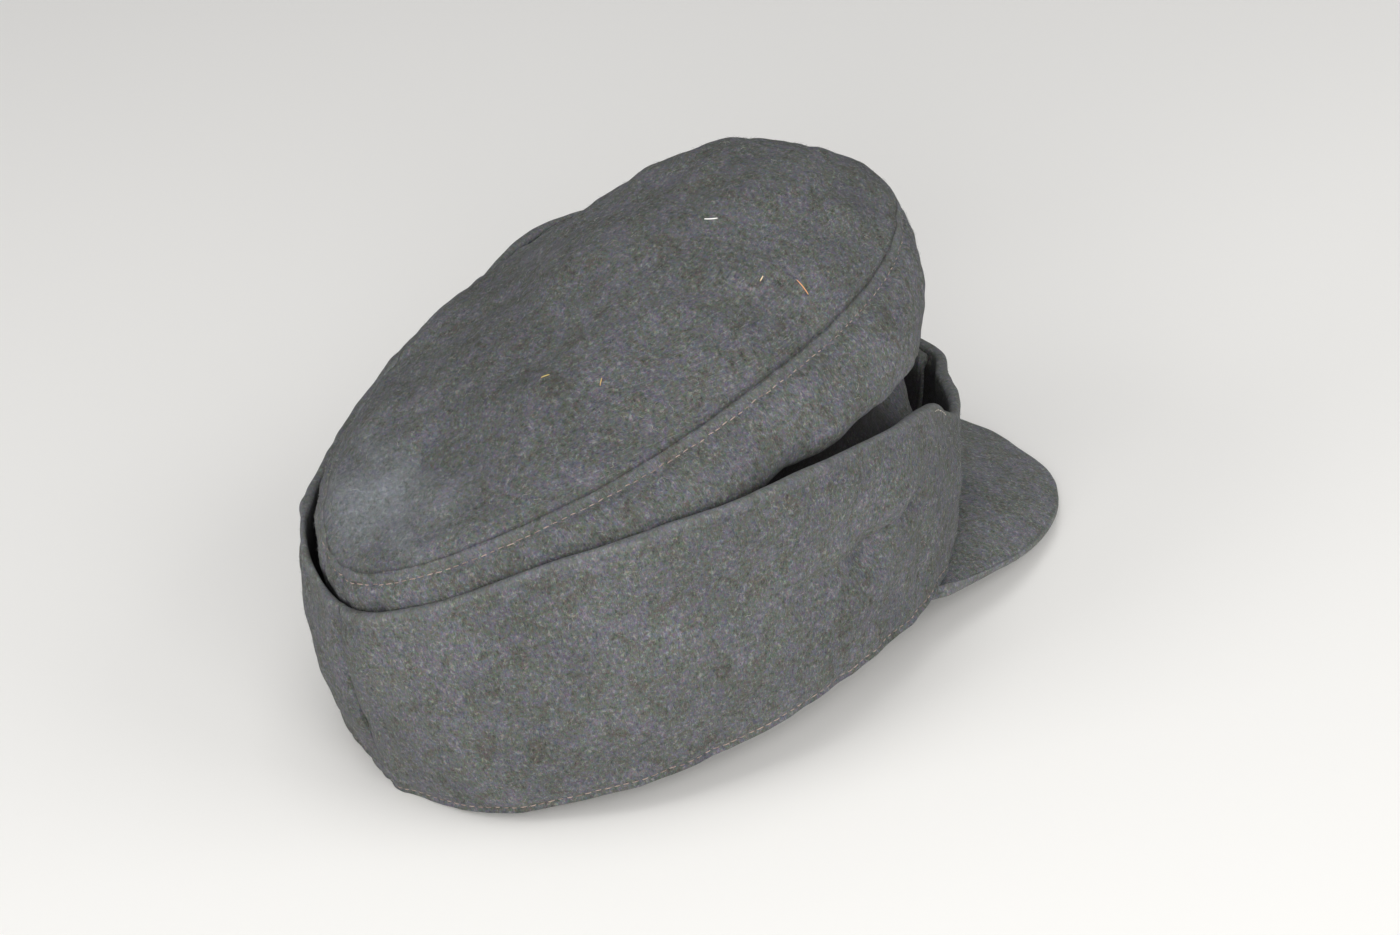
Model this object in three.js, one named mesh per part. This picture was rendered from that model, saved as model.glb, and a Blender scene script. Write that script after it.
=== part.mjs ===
// A soft wool field cap with a turned-up flap and a short cloth peak, in millimetres.
//
// The cap is drawn as it is worn: Z = 0 is the rim's level, -Y is the front and +X is the
// wearer's left. A turn runs round the head in degrees, from 0 at the centre back to 180 at
// the centre front, and a level runs up a piece from 0 at its sewn edge to 1 at its free
// edge. At the end the whole cap is pitched back and lifted, so that it rests on Z = 0 on
// the tip of its peak and the back of its rim.
import * as THREE from 'three';
import { ParametricGeometry } from 'three/addons/geometries/ParametricGeometry.js';
import { mergeVertices } from 'three/addons/utils/BufferGeometryUtils.js';

// Driving sizes
const crownCloth = 2.2;
const flapCloth = 3.2;
const peakCloth = 3.6;
const seamGap = 0.3;
const topGap = 0.5;
const restSink = 1.0;

// Heights of the rim, and on each side those of the flap's top edge and the top panel's seam
const heights = [
  { turn: 0, rim: 0, flapRight: 71, flapLeft: 71, seamRight: 81.5, seamLeft: 81.5 },
  { turn: 25, rim: 2.5, flapRight: 78.2, flapLeft: 77, seamRight: 86.5, seamLeft: 86.5 },
  { turn: 55, rim: 6.5, flapRight: 91.3, flapLeft: 74.5, seamRight: 96.2, seamLeft: 93 },
  { turn: 90, rim: 8.5, flapRight: 90, flapLeft: 84, seamRight: 104.8, seamLeft: 102.5 },
  { turn: 115, rim: 6, flapRight: 76.2, flapLeft: 94.5, seamRight: 105.5, seamLeft: 107.5 },
  { turn: 130, rim: 3.5, flapRight: 63.8, flapLeft: 78, seamRight: 105, seamLeft: 109 },
  { turn: 145, rim: 1, flapRight: 41.5, flapLeft: 53.5, seamRight: 105, seamLeft: 108 },
  { turn: 160, rim: 0, flapRight: 38, flapLeft: 39.5, seamRight: 105, seamLeft: 106 },
  { turn: 180, rim: 0, flapRight: 37.5, flapLeft: 37.5, seamRight: 104, seamLeft: 104 },
];

// Plan of the flap's outside at each level: half widths, reaches from the middle, and how far
// the oval is pinched in towards its ends, where 0 is an ellipse
const flapRows = [
  { level: 0, right: 83, left: 83, back: 107, front: 101, pinchRight: -0.05, pinchLeft: -0.05, pinchFront: -0.05 },
  { level: 0.3, right: 87.5, left: 87.5, back: 110, front: 104, pinchRight: -0.03, pinchLeft: -0.03, pinchFront: -0.03 },
  { level: 0.65, right: 88, left: 87.5, back: 110.5, front: 109.5, pinchRight: 0.04, pinchLeft: 0, pinchFront: 0 },
  { level: 1, right: 85.5, left: 84, back: 108, front: 115.5, pinchRight: 0.19, pinchLeft: 0.1, pinchFront: 0.09 },
];

// The same for the outside of the crown's wall, up to the top panel's seam
const wallRows = [
  { level: 0, right: 79, left: 79, back: 103, front: 97, pinchRight: -0.03, pinchLeft: -0.03, pinchFront: -0.03 },
  { level: 0.45, right: 80.5, left: 80, back: 104, front: 98, pinchRight: 0, pinchLeft: 0, pinchFront: 0 },
  { level: 0.74, right: 80, left: 77.5, back: 102.5, front: 107.5, pinchRight: 0.05, pinchLeft: 0.07, pinchFront: -0.03 },
  { level: 0.9, right: 75, left: 72, back: 103.5, front: 112.3, pinchRight: 0.09, pinchLeft: 0.14, pinchFront: 0 },
  { level: 1, right: 62.4, left: 62, back: 102, front: 112, pinchRight: 0.13, pinchLeft: 0.19, pinchFront: 0.03 },
];

// Soft folds, as ridges (+) and valleys (-) between two places, with width and rise in mm. The
// left half of the flap stands highest and flares out at its front
const flapFoldsRight = [
  { fromTurn: 118, fromLevel: 0.7, toTurn: 104, toLevel: 0.59, width: 7, rise: -2.4 },
  { fromTurn: 104, fromLevel: 0.59, toTurn: 84, toLevel: 0.66, width: 8, rise: -2.4 },
  { fromTurn: 84, fromLevel: 0.66, toTurn: 58, toLevel: 0.7, width: 10, rise: -1.4 },
  { fromTurn: 112, fromLevel: 0.86, toTurn: 84, toLevel: 0.85, width: 14, rise: 1.6 },
  { fromTurn: 118, fromLevel: 0.17, toTurn: 119, toLevel: 0.56, width: 6, rise: -1.5 },
];
const flapFoldsLeft = [
  { fromTurn: 108, fromLevel: 0.96, toTurn: 124, toLevel: 0.98, width: 18, rise: 6 },
  { fromTurn: 104, fromLevel: 0.56, toTurn: 76, toLevel: 0.62, width: 10, rise: -2 },
];
const wallFoldsRight = [
  { fromTurn: 96, fromLevel: 0.64, toTurn: 150, toLevel: 0.54, width: 15, rise: -11 },
  { fromTurn: 106, fromLevel: 0.81, toTurn: 138, toLevel: 0.69, width: 7, rise: 3 },
];
const wallFoldsLeft = [
  { fromTurn: 104, fromLevel: 0.62, toTurn: 150, toLevel: 0.54, width: 17, rise: -8 },
  { fromTurn: 104, fromLevel: 0.83, toTurn: 140, toLevel: 0.75, width: 10, rise: 1.3 },
];

// Top panel: rise of its puffed dome above the seam, how it leans up to the front, and how far
// its left side sags at a distance from the middle
const dome = { rise: 28, power: 3.4, middleY: -14, slope: -0.25, base: 99, leftSag: 28, sagAt: 60 };

// Peak: its corners lie on the rim at cornerTurn
const peak = { cornerTurn: 124, halfWidth: 68.5, rootY: -60, reach: 151.5, drop: 26 };
const peakRoot = { left: 80, back: 104, front: 97.5, pinchLeft: -0.03, pinchFront: -0.03 };

// Front lap of the flap, and its two buttons
const lap = { turns: 7, rampFrom: 163, rampTo: 172 };
const button = { radius: 6.5, rim: 1.4, height: 3.4, clearance: 0.6, levels: [0.72, 0.27] };

const degree = Math.PI / 180;

// Smooth reading of a table's column at a place between its rows. Along a turn the two ends
// are level, because the cap's two halves mirror each other there
function readTable(rows, key, column, at) {
  const last = rows.length - 1;
  let row = 0;
  while (row < last - 1 && at > rows[row + 1][key]) {
    row += 1;
  }
  const slope = (index) => {
    const before = rows[Math.max(index - 1, 0)];
    const after = rows[Math.min(index + 1, last)];
    const mirrored = key === 'turn' && (index === 0 || index === last);
    return mirrored ? 0 : (after[column] - before[column]) / (after[key] - before[key]);
  };
  const span = rows[row + 1][key] - rows[row][key];
  const share = THREE.MathUtils.clamp((at - rows[row][key]) / span, 0, 1);
  const ease = share * share * (3 - 2 * share);
  const leave = share * (1 - share) * (1 - share);
  const arrive = share * share * (1 - share);
  const start = rows[row][column] * (1 - ease) + rows[row + 1][column] * ease;
  return start + span * (slope(row) * leave - slope(row + 1) * arrive);
}

// Height of a named line of the cap at a turn, with turns past the front folded back
function heightAt(column, turn) {
  const folded = turn > 180 ? 360 - turn : turn;
  return readTable(heights, 'turn', column, folded);
}

// Point of an oval in plan: an ellipse that is pinched in by the square of the cosine
function planPoint(row, side, turn) {
  const cosine = Math.cos(turn * degree);
  const half = side < 0 ? row.right : row.left;
  const pinchBack = side < 0 ? row.pinchRight : row.pinchLeft;
  const pinch = (cosine > 0 ? pinchBack : row.pinchFront) * cosine ** 2;
  const reach = cosine > 0 ? row.back : row.front;
  return new THREE.Vector2(half * Math.sin(turn * degree) * (1 - pinch), reach * cosine);
}

// The plan row at a level, read column by column
function rowAt(rows, level) {
  const columns = Object.keys(rows[0]).filter((name) => name !== 'level');
  return Object.fromEntries(columns.map((name) => [name, readTable(rows, 'level', name, level)]));
}

// Sum of the folds at a place, by its distance in mm from each fold's line
function foldRise(folds, turn, level, height) {
  const place = new THREE.Vector3(turn * 1.6, level * height, 0);
  const nearest = new THREE.Vector3();
  return folds.reduce((sum, fold) => {
    const from = new THREE.Vector3(fold.fromTurn * 1.6, fold.fromLevel * height, 0);
    const to = new THREE.Vector3(fold.toTurn * 1.6, fold.toLevel * height, 0);
    new THREE.Line3(from, to).closestPointToPoint(place, true, nearest);
    return sum + fold.rise * Math.exp(-((place.distanceTo(nearest) / fold.width) ** 2));
  }, 0);
}

// Outside of an upright piece: an oval that changes with level, pushed out by its folds and
// by `lift`, and standing half a gap off the middle plane
function uprightSurface({ rows, side, topHeight, folds, lift }) {
  return (turn, level) => {
    const plan = planPoint(rowAt(rows, level), side, turn);
    const bottom = heightAt('rim', turn);
    const height = topHeight(turn) - bottom;
    const push = foldRise(folds, turn, level, height) + lift(turn);
    plan.addScaledVector(plan.clone().normalize(), push);
    return new THREE.Vector3(side * (plan.x + seamGap / 2), plan.y, bottom + height * level);
  };
}

// Outside of the top panel: level 0 is the seam and level 1 the middle
function domeSurface(turn, level) {
  const side = turn < 0 ? -1 : 1;
  const plan = planPoint(wallRows.at(-1), side, Math.abs(turn));
  const spread = 1 - level;
  const y = THREE.MathUtils.lerp(dome.middleY, plan.y, spread);
  const base = dome.base + dome.slope * (y - dome.middleY);
  const seam = heightAt(side < 0 ? 'seamRight' : 'seamLeft', Math.abs(turn)) + topGap;
  const rise = dome.rise * (1 - spread ** dome.power);
  const x = side * plan.x * spread;
  const sag = dome.leftSag * (Math.max(x, 0) / dome.sagAt) ** 2 * (1 - spread ** 2);
  return new THREE.Vector3(x, y, THREE.MathUtils.lerp(base, seam, spread ** 2) + rise - sag);
}

// Top of the peak: level 0 is its root under the rim and level 1 its outline
function peakSurface(turn, level) {
  const root = planPoint(peakRoot, 1, turn);
  const rootHeight = heightAt('rim', turn) - seamGap - 0.1;
  const swing = ((180 - turn) / (180 - peak.cornerTurn)) * 88 * degree;
  const forward = Math.cos(swing);
  const tipX = peak.halfWidth * Math.sin(swing);
  const tipY = THREE.MathUtils.lerp(peak.rootY, -peak.reach, forward);
  const tipHeight = THREE.MathUtils.lerp(rootHeight, -peak.drop, forward);
  const fall = level * (0.55 + 0.45 * level);
  return new THREE.Vector3(
    THREE.MathUtils.lerp(root.x, tipX, level),
    THREE.MathUtils.lerp(root.y, tipY, level),
    THREE.MathUtils.lerp(rootHeight, tipHeight, fall),
  );
}

// Unit normal of a surface on its outer side
function normalAt(surface, turn, level, facing) {
  const step = 0.004;
  const low = Math.max(level - step, 0);
  const high = Math.min(level + step, 1 - step);
  const alongLevel = surface(turn, high).sub(surface(turn, low));
  const near = Math.min(level, 1 - step);
  const alongTurn = surface(turn + step, near).sub(surface(turn - step, near));
  return alongLevel.cross(alongTurn).normalize().multiplyScalar(facing);
}

// Pitch and lift that rest the cap on the tip of its peak and the back of its rim. The tip's
// rounded underside lies two thirds of the cloth below its outline
const rimBack = flapRows[0].back - flapCloth;
const restPitch = Math.atan2(peak.drop + 0.66 * peakCloth, peak.reach + rimBack);
const restLift = rimBack * Math.sin(restPitch) - restSink;
const floorNormal = new THREE.Vector3(0, -Math.sin(restPitch), Math.cos(restPitch));

// Cloth that would reach below the floor is flattened on it
function settle(point) {
  const height = point.dot(floorNormal) + restLift;
  return point.addScaledVector(floorNormal, Math.max(-height, 0));
}

// Closed mesh of a cloth piece: its outside, its inside one thickness in, and the edges
// between. An open strip's two ends are pinched shut on the middle of the cloth, and a
// rolled edge draws both faces in at the last level
function clothGeometry({ surface, turns, levels, thickness, facing, ring, roll }) {
  const columns = 2 * levels.length;
  const ends = ring ? 0 : 1;
  const rings = turns.length - 1 + 2 * ends;
  const point = (u, v, target) => {
    const index = Math.round(u * rings) - ends;
    const turn = turns[THREE.MathUtils.clamp(index, 0, turns.length - 1)];
    const column = Math.round(v * columns) % columns;
    const outer = column < levels.length;
    const level = levels[outer ? column : columns - 1 - column];
    const pinched = index < 0 || index >= turns.length;
    const drawn = level === 1 ? roll : 0;
    const depth = pinched ? 0.5 : outer ? drawn : 1 - drawn;
    const normal = normalAt(surface, turn, level, facing);
    target.copy(settle(surface(turn, level).addScaledVector(normal, -depth * thickness)));
  };
  return weld(new ParametricGeometry(point, rings, columns));
}

// Joins the points that meet, drops the faces that this flattens, and turns the rest outward
function weld(geometry) {
  const joined = mergeVertices(geometry.deleteAttribute('normal').deleteAttribute('uv'), 0.001);
  const corners = joined.index.array;
  const places = joined.attributes.position;
  const faces = [];
  let volume = 0;
  for (let start = 0; start < corners.length; start += 3) {
    const [a, b, c] = corners.slice(start, start + 3);
    if (a !== b && b !== c && c !== a) {
      faces.push([a, b, c]);
      const [pa, pb, pc] = [a, b, c].map((corner) => new THREE.Vector3().fromBufferAttribute(places, corner));
      volume += pa.dot(pb.cross(pc));
    }
  }
  joined.setIndex(faces.flatMap(([a, b, c]) => (volume > 0 ? [a, b, c] : [a, c, b])));
  joined.computeVertexNormals();
  return joined;
}

// Evenly spaced numbers from one value to another
function spread(from, to, count) {
  return Array.from({ length: count + 1 }, (_, index) => THREE.MathUtils.lerp(from, to, index / count));
}

const wool = { color: 0x5b6061, roughness: 0.96, metalness: 0 };
const paint = { color: 0x565b58, roughness: 0.55, metalness: 0.3 };

function mesh(name, geometry, finish) {
  const piece = new THREE.Mesh(geometry, new THREE.MeshStandardMaterial(finish));
  piece.name = name;
  return piece;
}

// Right (-1) or left (+1) half of the crown's wall, from the centre back to the centre front
function crownSide(name, side) {
  const surface = uprightSurface({
    rows: wallRows,
    side,
    topHeight: (turn) => heightAt(side < 0 ? 'seamRight' : 'seamLeft', turn),
    folds: side < 0 ? wallFoldsRight : wallFoldsLeft,
    lift: () => 0,
  });
  const levels = [0, 0.12, 0.28, 0.42, 0.54, 0.65, 0.75, 0.84, 0.92, 1];
  const turns = spread(0, 180, 42);
  return mesh(name, clothGeometry({ surface, turns, levels, thickness: crownCloth, facing: side, roll: 0 }), wool);
}

// Outward shift of the flap's right end, which laps over the left end at the front. The
// flap leans out there, so the shift is more than its thickness
function lapLift(turn) {
  return 1.2 * (flapCloth + seamGap) * THREE.MathUtils.smoothstep(turn, lap.rampFrom, lap.rampTo);
}

function flapSurface(side) {
  return uprightSurface({
    rows: flapRows,
    side,
    topHeight: (turn) => heightAt(side < 0 ? 'flapRight' : 'flapLeft', turn),
    folds: side < 0 ? flapFoldsRight : flapFoldsLeft,
    lift: side < 0 ? lapLift : () => 0,
  });
}

// Right or left half of the turned-up flap, double cloth with a rolled top edge
function flapHalf(name, side) {
  const levels = [0, 0.1, 0.22, 0.34, 0.46, 0.56, 0.66, 0.77, 0.88, 0.975, 1];
  const turns = spread(0, 180 + lap.turns, 50);
  const shape = { surface: flapSurface(side), turns, levels, thickness: flapCloth, facing: side, roll: 0.25 };
  return mesh(name, clothGeometry(shape), wool);
}

// The one-piece top panel, whole round
function crownTop() {
  const levels = [0, 0.04, 0.09, 0.16, 0.26, 0.4, 0.58, 0.78, 1];
  const shape = { surface: domeSurface, turns: spread(-180, 180, 68), levels, thickness: crownCloth };
  return mesh('crown_top', clothGeometry({ ...shape, facing: 1, ring: true, roll: 0 }), wool);
}

// The short peak, with its turned edge rounded over
function peakShell() {
  const turns = spread(peak.cornerTurn, 360 - peak.cornerTurn, 40);
  const levels = [0, 0.15, 0.32, 0.5, 0.68, 0.84, 0.97, 1];
  const shape = { surface: peakSurface, turns, levels, thickness: peakCloth, facing: -1, roll: 0.25 };
  return mesh('peak', clothGeometry(shape), wool);
}

// A plain domed button, lying on the flap's lap at a level of the flap
function frontButton(name, level) {
  const { radius, rim, height, clearance } = button;
  const profile = new THREE.Path();
  profile.moveTo(0, 0);
  profile.lineTo(radius - 0.4, 0);
  profile.lineTo(radius, 0.4);
  profile.lineTo(radius, rim);
  profile.quadraticCurveTo(radius * 0.7, height, 0, height);
  const piece = mesh(name, new THREE.LatheGeometry(profile.getPoints(4), 16), paint);
  const outward = normalAt(flapSurface(-1), 180, level, -1);
  piece.position.copy(flapSurface(-1)(180, level)).addScaledVector(outward, clearance);
  piece.quaternion.setFromUnitVectors(new THREE.Vector3(0, 1, 0), outward);
  return piece;
}

const cap = new THREE.Group();
cap.add(crownTop());
cap.add(crownSide('crown_side_right', -1));
cap.add(crownSide('crown_side_left', 1));
cap.add(flapHalf('flap_right', -1));
cap.add(flapHalf('flap_left', 1));
cap.add(peakShell());
cap.add(frontButton('front_button_upper', button.levels[0]));
cap.add(frontButton('front_button_lower', button.levels[1]));

// Rest the cap on its peak and its rim, centred over the origin
cap.rotation.x = -restPitch;
cap.position.z = restLift;
cap.updateMatrixWorld(true);
const middle = new THREE.Box3().setFromObject(cap, true).getCenter(new THREE.Vector3());
cap.position.x -= middle.x;
cap.position.y -= middle.y;

export default cap;
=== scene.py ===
import bpy
import numpy as np
from mathutils import Matrix, Vector


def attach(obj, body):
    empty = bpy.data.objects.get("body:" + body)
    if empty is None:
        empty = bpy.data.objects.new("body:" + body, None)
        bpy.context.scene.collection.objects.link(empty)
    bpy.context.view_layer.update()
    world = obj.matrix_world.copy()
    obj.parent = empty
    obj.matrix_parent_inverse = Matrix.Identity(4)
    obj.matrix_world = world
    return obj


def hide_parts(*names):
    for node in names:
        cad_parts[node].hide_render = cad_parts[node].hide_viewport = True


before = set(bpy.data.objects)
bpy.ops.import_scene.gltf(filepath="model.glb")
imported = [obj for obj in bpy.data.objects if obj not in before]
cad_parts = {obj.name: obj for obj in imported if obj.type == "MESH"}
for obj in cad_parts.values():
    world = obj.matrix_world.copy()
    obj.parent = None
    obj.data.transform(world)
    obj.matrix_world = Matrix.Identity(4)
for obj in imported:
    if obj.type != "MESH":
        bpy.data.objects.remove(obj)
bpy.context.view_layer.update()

# Sizes shared by all pieces, in mm: cloth thicknesses, gaps between sewn edges, how far the rim
# sinks flat on the floor and the shift to the middle, and the width of one degree of turn
cloth = {"crown": 2.2, "flap": 3.2, "peak": 3.6, "seamGap": 0.3, "topGap": 0.1}
rest = {"sink": 1.0, "shiftX": 0.2, "shiftY": 19.107}
turnMm = 1.6

# Heights of the rim, and on each side those of the flap's top edge and the top panel's seam
heights = {
    "turn": [0, 25, 55, 90, 115, 130, 145, 160, 180],
    "rim": [0, 2.5, 6.5, 8.5, 6, 3.5, 1, 0, 0],
    "flapRight": [71, 78.2, 91.3, 90, 76.2, 63.8, 41.5, 38, 37.5],
    "flapLeft": [71, 77, 74.5, 84, 94.5, 78, 53.5, 39.5, 37.5],
    "seamRight": [81.5, 86.5, 96.2, 104.8, 105.5, 105, 105, 105, 104],
    "seamLeft": [81.5, 86.5, 93, 102.5, 107.5, 109, 108, 106, 104],
}

# Plan of the flap's outside by level: half widths, reaches, and how far the oval is pinched in
flapPlan = {
    "level": [0, 0.3, 0.65, 1],
    "right": [83, 87.5, 88, 85.5],
    "left": [83, 87.5, 87.5, 84],
    "back": [107, 110, 110.5, 108],
    "front": [101, 104, 109.5, 115.5],
    "pinchRight": [-0.05, -0.03, 0.04, 0.19],
    "pinchLeft": [-0.05, -0.03, 0, 0.1],
    "pinchFront": [-0.05, -0.03, 0, 0.09],
}

# The same for the outside of the wall
wallPlan = {
    "level": [0, 0.45, 0.74, 0.9, 1],
    "right": [79, 80.5, 80, 75, 62.4],
    "left": [79, 80, 77.5, 72, 62],
    "back": [103, 104, 102.5, 103.5, 102],
    "front": [97, 98, 107.5, 112.3, 112],
    "pinchRight": [-0.03, 0, 0.05, 0.09, 0.13],
    "pinchLeft": [-0.03, 0, 0.07, 0.14, 0.19],
    "pinchFront": [-0.03, 0, -0.03, 0, 0.03],
}

# Broad folds: a line from one place to another, its width and its rise in mm
flapFoldsRight = {
    "fromTurn": [118, 104, 84, 112, 118], "fromLevel": [0.7, 0.59, 0.66, 0.86, 0.17],
    "toTurn": [104, 84, 58, 84, 119], "toLevel": [0.59, 0.66, 0.7, 0.85, 0.56],
    "width": [7, 8, 10, 14, 6], "rise": [-2.4, -2.4, -1.4, 1.6, -1.5],
}
flapFoldsLeft = {
    "fromTurn": [108, 104], "fromLevel": [0.96, 0.56], "toTurn": [124, 76], "toLevel": [0.98, 0.62],
    "width": [18, 10], "rise": [6, -2],
}
wallFoldsRight = {
    "fromTurn": [96, 106], "fromLevel": [0.64, 0.81], "toTurn": [150, 138], "toLevel": [0.54, 0.69],
    "width": [15, 7], "rise": [-11, 3],
}
wallFoldsLeft = {
    "fromTurn": [104, 104], "fromLevel": [0.62, 0.83], "toTurn": [150, 140], "toLevel": [0.54, 0.75],
    "width": [17, 10], "rise": [-8, 1.3],
}

dome = {"rise": 28, "power": 3.4, "middleY": -14, "slope": -0.25, "base": 99, "leftSag": 28, "sagAt": 60}
peak = {
    "cornerTurn": 124, "cornerSwing": 88, "halfWidth": 68.5, "rootY": -60, "rootGap": 0.4,
    "reach": 151.5, "drop": 26, "leftLift": 4,
}
peakRoot = {
    "right": 80, "left": 80, "back": 104, "front": 97.5,
    "pinchRight": -0.03, "pinchLeft": -0.03, "pinchFront": -0.03,
}
lap = {"turns": 7, "rampFrom": 163, "rampTo": 172}

restPitch = np.arctan2(peak["drop"] + 0.66 * cloth["peak"],
                       peak["reach"] + flapPlan["back"][0] - cloth["flap"])
restLift = (flapPlan["back"][0] - cloth["flap"]) * np.sin(restPitch) - rest["sink"]


# Cubic reading of a table's column: the two rows around a place are blended by s*s*(3-2s), and
# each row's slope comes from its neighbours. Along a turn the first and last rows are level
def readColumn(table, key, column, at):
    places, values = np.array(table[key], float), np.array(table[column], float)
    count = len(places)
    before = np.maximum(np.arange(count) - 1, 0)
    after = np.minimum(np.arange(count) + 1, count - 1)
    slope = (values[after] - values[before]) / (places[after] - places[before])
    if key == "turn":
        slope[[0, -1]] = 0
    row = np.clip(np.searchsorted(places, at, side="right") - 1, 0, count - 2)
    span = places[row + 1] - places[row]
    share = np.clip((at - places[row]) / span, 0, 1)
    ease = share**2 * (3 - 2 * share)
    lean = slope[row] * share * (1 - share)**2 - slope[row + 1] * share**2 * (1 - share)
    return values[row] * (1 - ease) + values[row + 1] * ease + span * lean


# Height of a named line at a turn, with turns past the front folded back
def heightAt(column, turn):
    return readColumn(heights, "turn", column, np.where(turn > 180, 360 - turn, turn))


# All of a plan's columns read at some levels
def planAt(plan, level):
    return {name: readColumn(plan, "level", name, level) for name in plan if name != "level"}


# Plan oval: x = half * sin(turn) * (1 - pinch * cos²), y = reach * cos(turn)
def planOval(plan, side, turn):
    cosine, sine = np.cos(np.radians(turn)), np.sin(np.radians(turn))
    half = np.where(side < 0, plan["right"], plan["left"])
    pinchBack = np.where(side < 0, plan["pinchRight"], plan["pinchLeft"])
    pinch = np.where(cosine > 0, pinchBack, plan["pinchFront"]) * cosine**2
    return half * sine * (1 - pinch), np.where(cosine > 0, plan["back"], plan["front"]) * cosine


# Sum of folds: rise * exp(-(distance to the fold's line / width)²), with the distance in mm on
# the piece laid flat
def foldRise(folds, turn, level, height):
    alongMm, upMm = turn * turnMm, level * height
    total = np.zeros(np.broadcast(turn, level).shape)
    for fold in range(len(folds["rise"])):
        startX, startY = folds["fromTurn"][fold] * turnMm, folds["fromLevel"][fold] * height
        stepX = folds["toTurn"][fold] * turnMm - startX
        stepY = folds["toLevel"][fold] * height - startY
        share = ((alongMm - startX) * stepX + (upMm - startY) * stepY) / (stepX**2 + stepY**2)
        share = np.clip(share, 0, 1)
        gapX, gapY = alongMm - startX - share * stepX, upMm - startY - share * stepY
        total += folds["rise"][fold] * np.exp(-(gapX**2 + gapY**2) / folds["width"][fold]**2)
    return total


# Blend from 0 to 1 between two places, by s*s*(3-2s)
def smoothStep(value, low, high):
    share = np.clip((value - low) / (high - low), 0, 1)
    return share**2 * (3 - 2 * share)


# Bell curve: exp(-((value - centre) / width)²)
def bell(value, centre, width):
    return np.exp(-((value - centre) / width)**2)


# Soft unevenness: a sum of 28 cosine waves in random directions through space, about 1 high,
# with wavelengths around the one given
def softWaves(points, wavelength, seed):
    chance = np.random.default_rng(seed)
    direction = chance.normal(size=(28, 3))
    direction /= np.linalg.norm(direction, axis=1, keepdims=True)
    pace = 2 * np.pi / (wavelength * chance.uniform(0.7, 1.5, (28, 1)))
    phase = chance.uniform(0, 2 * np.pi, 28)
    return np.cos(points @ (direction * pace).T + phase).sum(-1) / np.sqrt(14)


# Where the right half of the wall folds in under its own belly, and where the right half of the
# flap slumps in a slanting crease: the fold's line, and how far in the cloth goes below it, in mm
wallTuck = {
    "turn": [70, 84, 104, 122, 140, 152, 166],
    "level": [0.82, 0.82, 0.765, 0.76, 0.72, 0.7, 0.68],
    "fall": [0, 2.5, 7.5, 10, 7.5, 4.5, 0],
    "steep": 4.5, "reach": 17, "bulge": 0.05,
}
flapTuck = {
    "turn": [64, 80, 98, 110, 119, 124],
    "level": [0.66, 0.61, 0.555, 0.6, 0.68, 0.78],
    "fall": [0, 1, 3.4, 5.4, 3.4, 0],
    "steep": 3.4, "reach": 12, "bulge": 0.5,
}


# Inward fall below a tuck's line: fall * s(below / steep) * exp(-(below / reach)²), less a low
# swell of bulge * fall above the line, all in mm
def tuckFall(tuck, turn, level, height):
    first, second, *_, nextLast, last = tuck["turn"]
    inside = smoothStep(turn, first, second) * smoothStep(-turn, -last, -nextLast)
    at = np.clip(turn, first, last)
    below = (readColumn(tuck, "turn", "level", at) - level) * height
    shape = smoothStep(below, 0, tuck["steep"]) * bell(below, 0, tuck["reach"])
    shape = shape - tuck["bulge"] * bell(below, -5, 4.5)
    return readColumn(tuck, "turn", "fall", at) * shape * inside


# Outside of an upright piece: an oval that changes with level, pushed outward by folds and lift
def uprightSurface(plan, side, topColumn, folds, lift=0.0, tuck=None):
    def surface(turn, level):
        x, y = planOval(planAt(plan, level), side, turn)
        bottom = heightAt("rim", turn)
        height = heightAt(topColumn, turn) - bottom
        push = foldRise(folds, turn, level, height) + lift * smoothStep(turn, lap["rampFrom"], lap["rampTo"])
        if tuck:
            push = push - tuckFall(tuck, turn, level, height)
        grow = 1 + push / np.hypot(x, y)
        x = side * (x * grow + cloth["seamGap"] / 2)
        return np.stack([x, y * grow, bottom + height * level], -1)
    return surface


# Outside of the top panel: q = 1 - level runs from the middle to the seam, plan shrunk by q,
# height = a leaning base that blends into the seam by q², plus rise * (1 - q^power), less a sag of
# leftSag * (x / sagAt)² * (1 - q²) on the left side
def domeSurface(turn, level):
    side = np.where(turn < 0, -1, 1)
    top = {name: wallPlan[name][-1] for name in wallPlan}
    x, y = planOval(top, side, np.abs(turn))
    q = 1 - level
    y = dome["middleY"] + (y - dome["middleY"]) * q
    base = dome["base"] + dome["slope"] * (y - dome["middleY"])
    seam = np.where(side < 0, heightAt("seamRight", np.abs(turn)), heightAt("seamLeft", np.abs(turn)))
    seam = seam + cloth["topGap"]
    z = base + (seam - base) * q**2 + dome["rise"] * (1 - q**dome["power"])
    x = side * x * q
    sag = dome["leftSag"] * (np.maximum(x, 0) / dome["sagAt"])**2 * (1 - q**2)
    return np.stack([x, y, z - sag], -1)


# Top of the peak: straight from its root on the rim to its outline, an ellipse swept from
# corner to corner, and falling by level * (0.55 + 0.45 * level). Its left side is bent up a little
def peakSurface(turn, level):
    rootX, rootY = planOval(peakRoot, 1, turn)
    rootZ = heightAt("rim", turn) - peak["rootGap"]
    swing = np.radians((180 - turn) / (180 - peak["cornerTurn"]) * peak["cornerSwing"])
    forward = np.cos(swing)
    tipX = peak["halfWidth"] * np.sin(swing)
    tipY = peak["rootY"] - (peak["reach"] + peak["rootY"]) * forward
    lifted = peak["leftLift"] * smoothStep(-turn, -184, -166) * smoothStep(turn, 128, 158)
    tipZ = rootZ - (peak["drop"] + rootZ) * forward + lifted
    fall = level * (0.55 + 0.45 * level)
    return np.stack([rootX + (tipX - rootX) * level, rootY + (tipY - rootY) * level,
                     rootZ + (tipZ - rootZ) * fall], -1)


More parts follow.
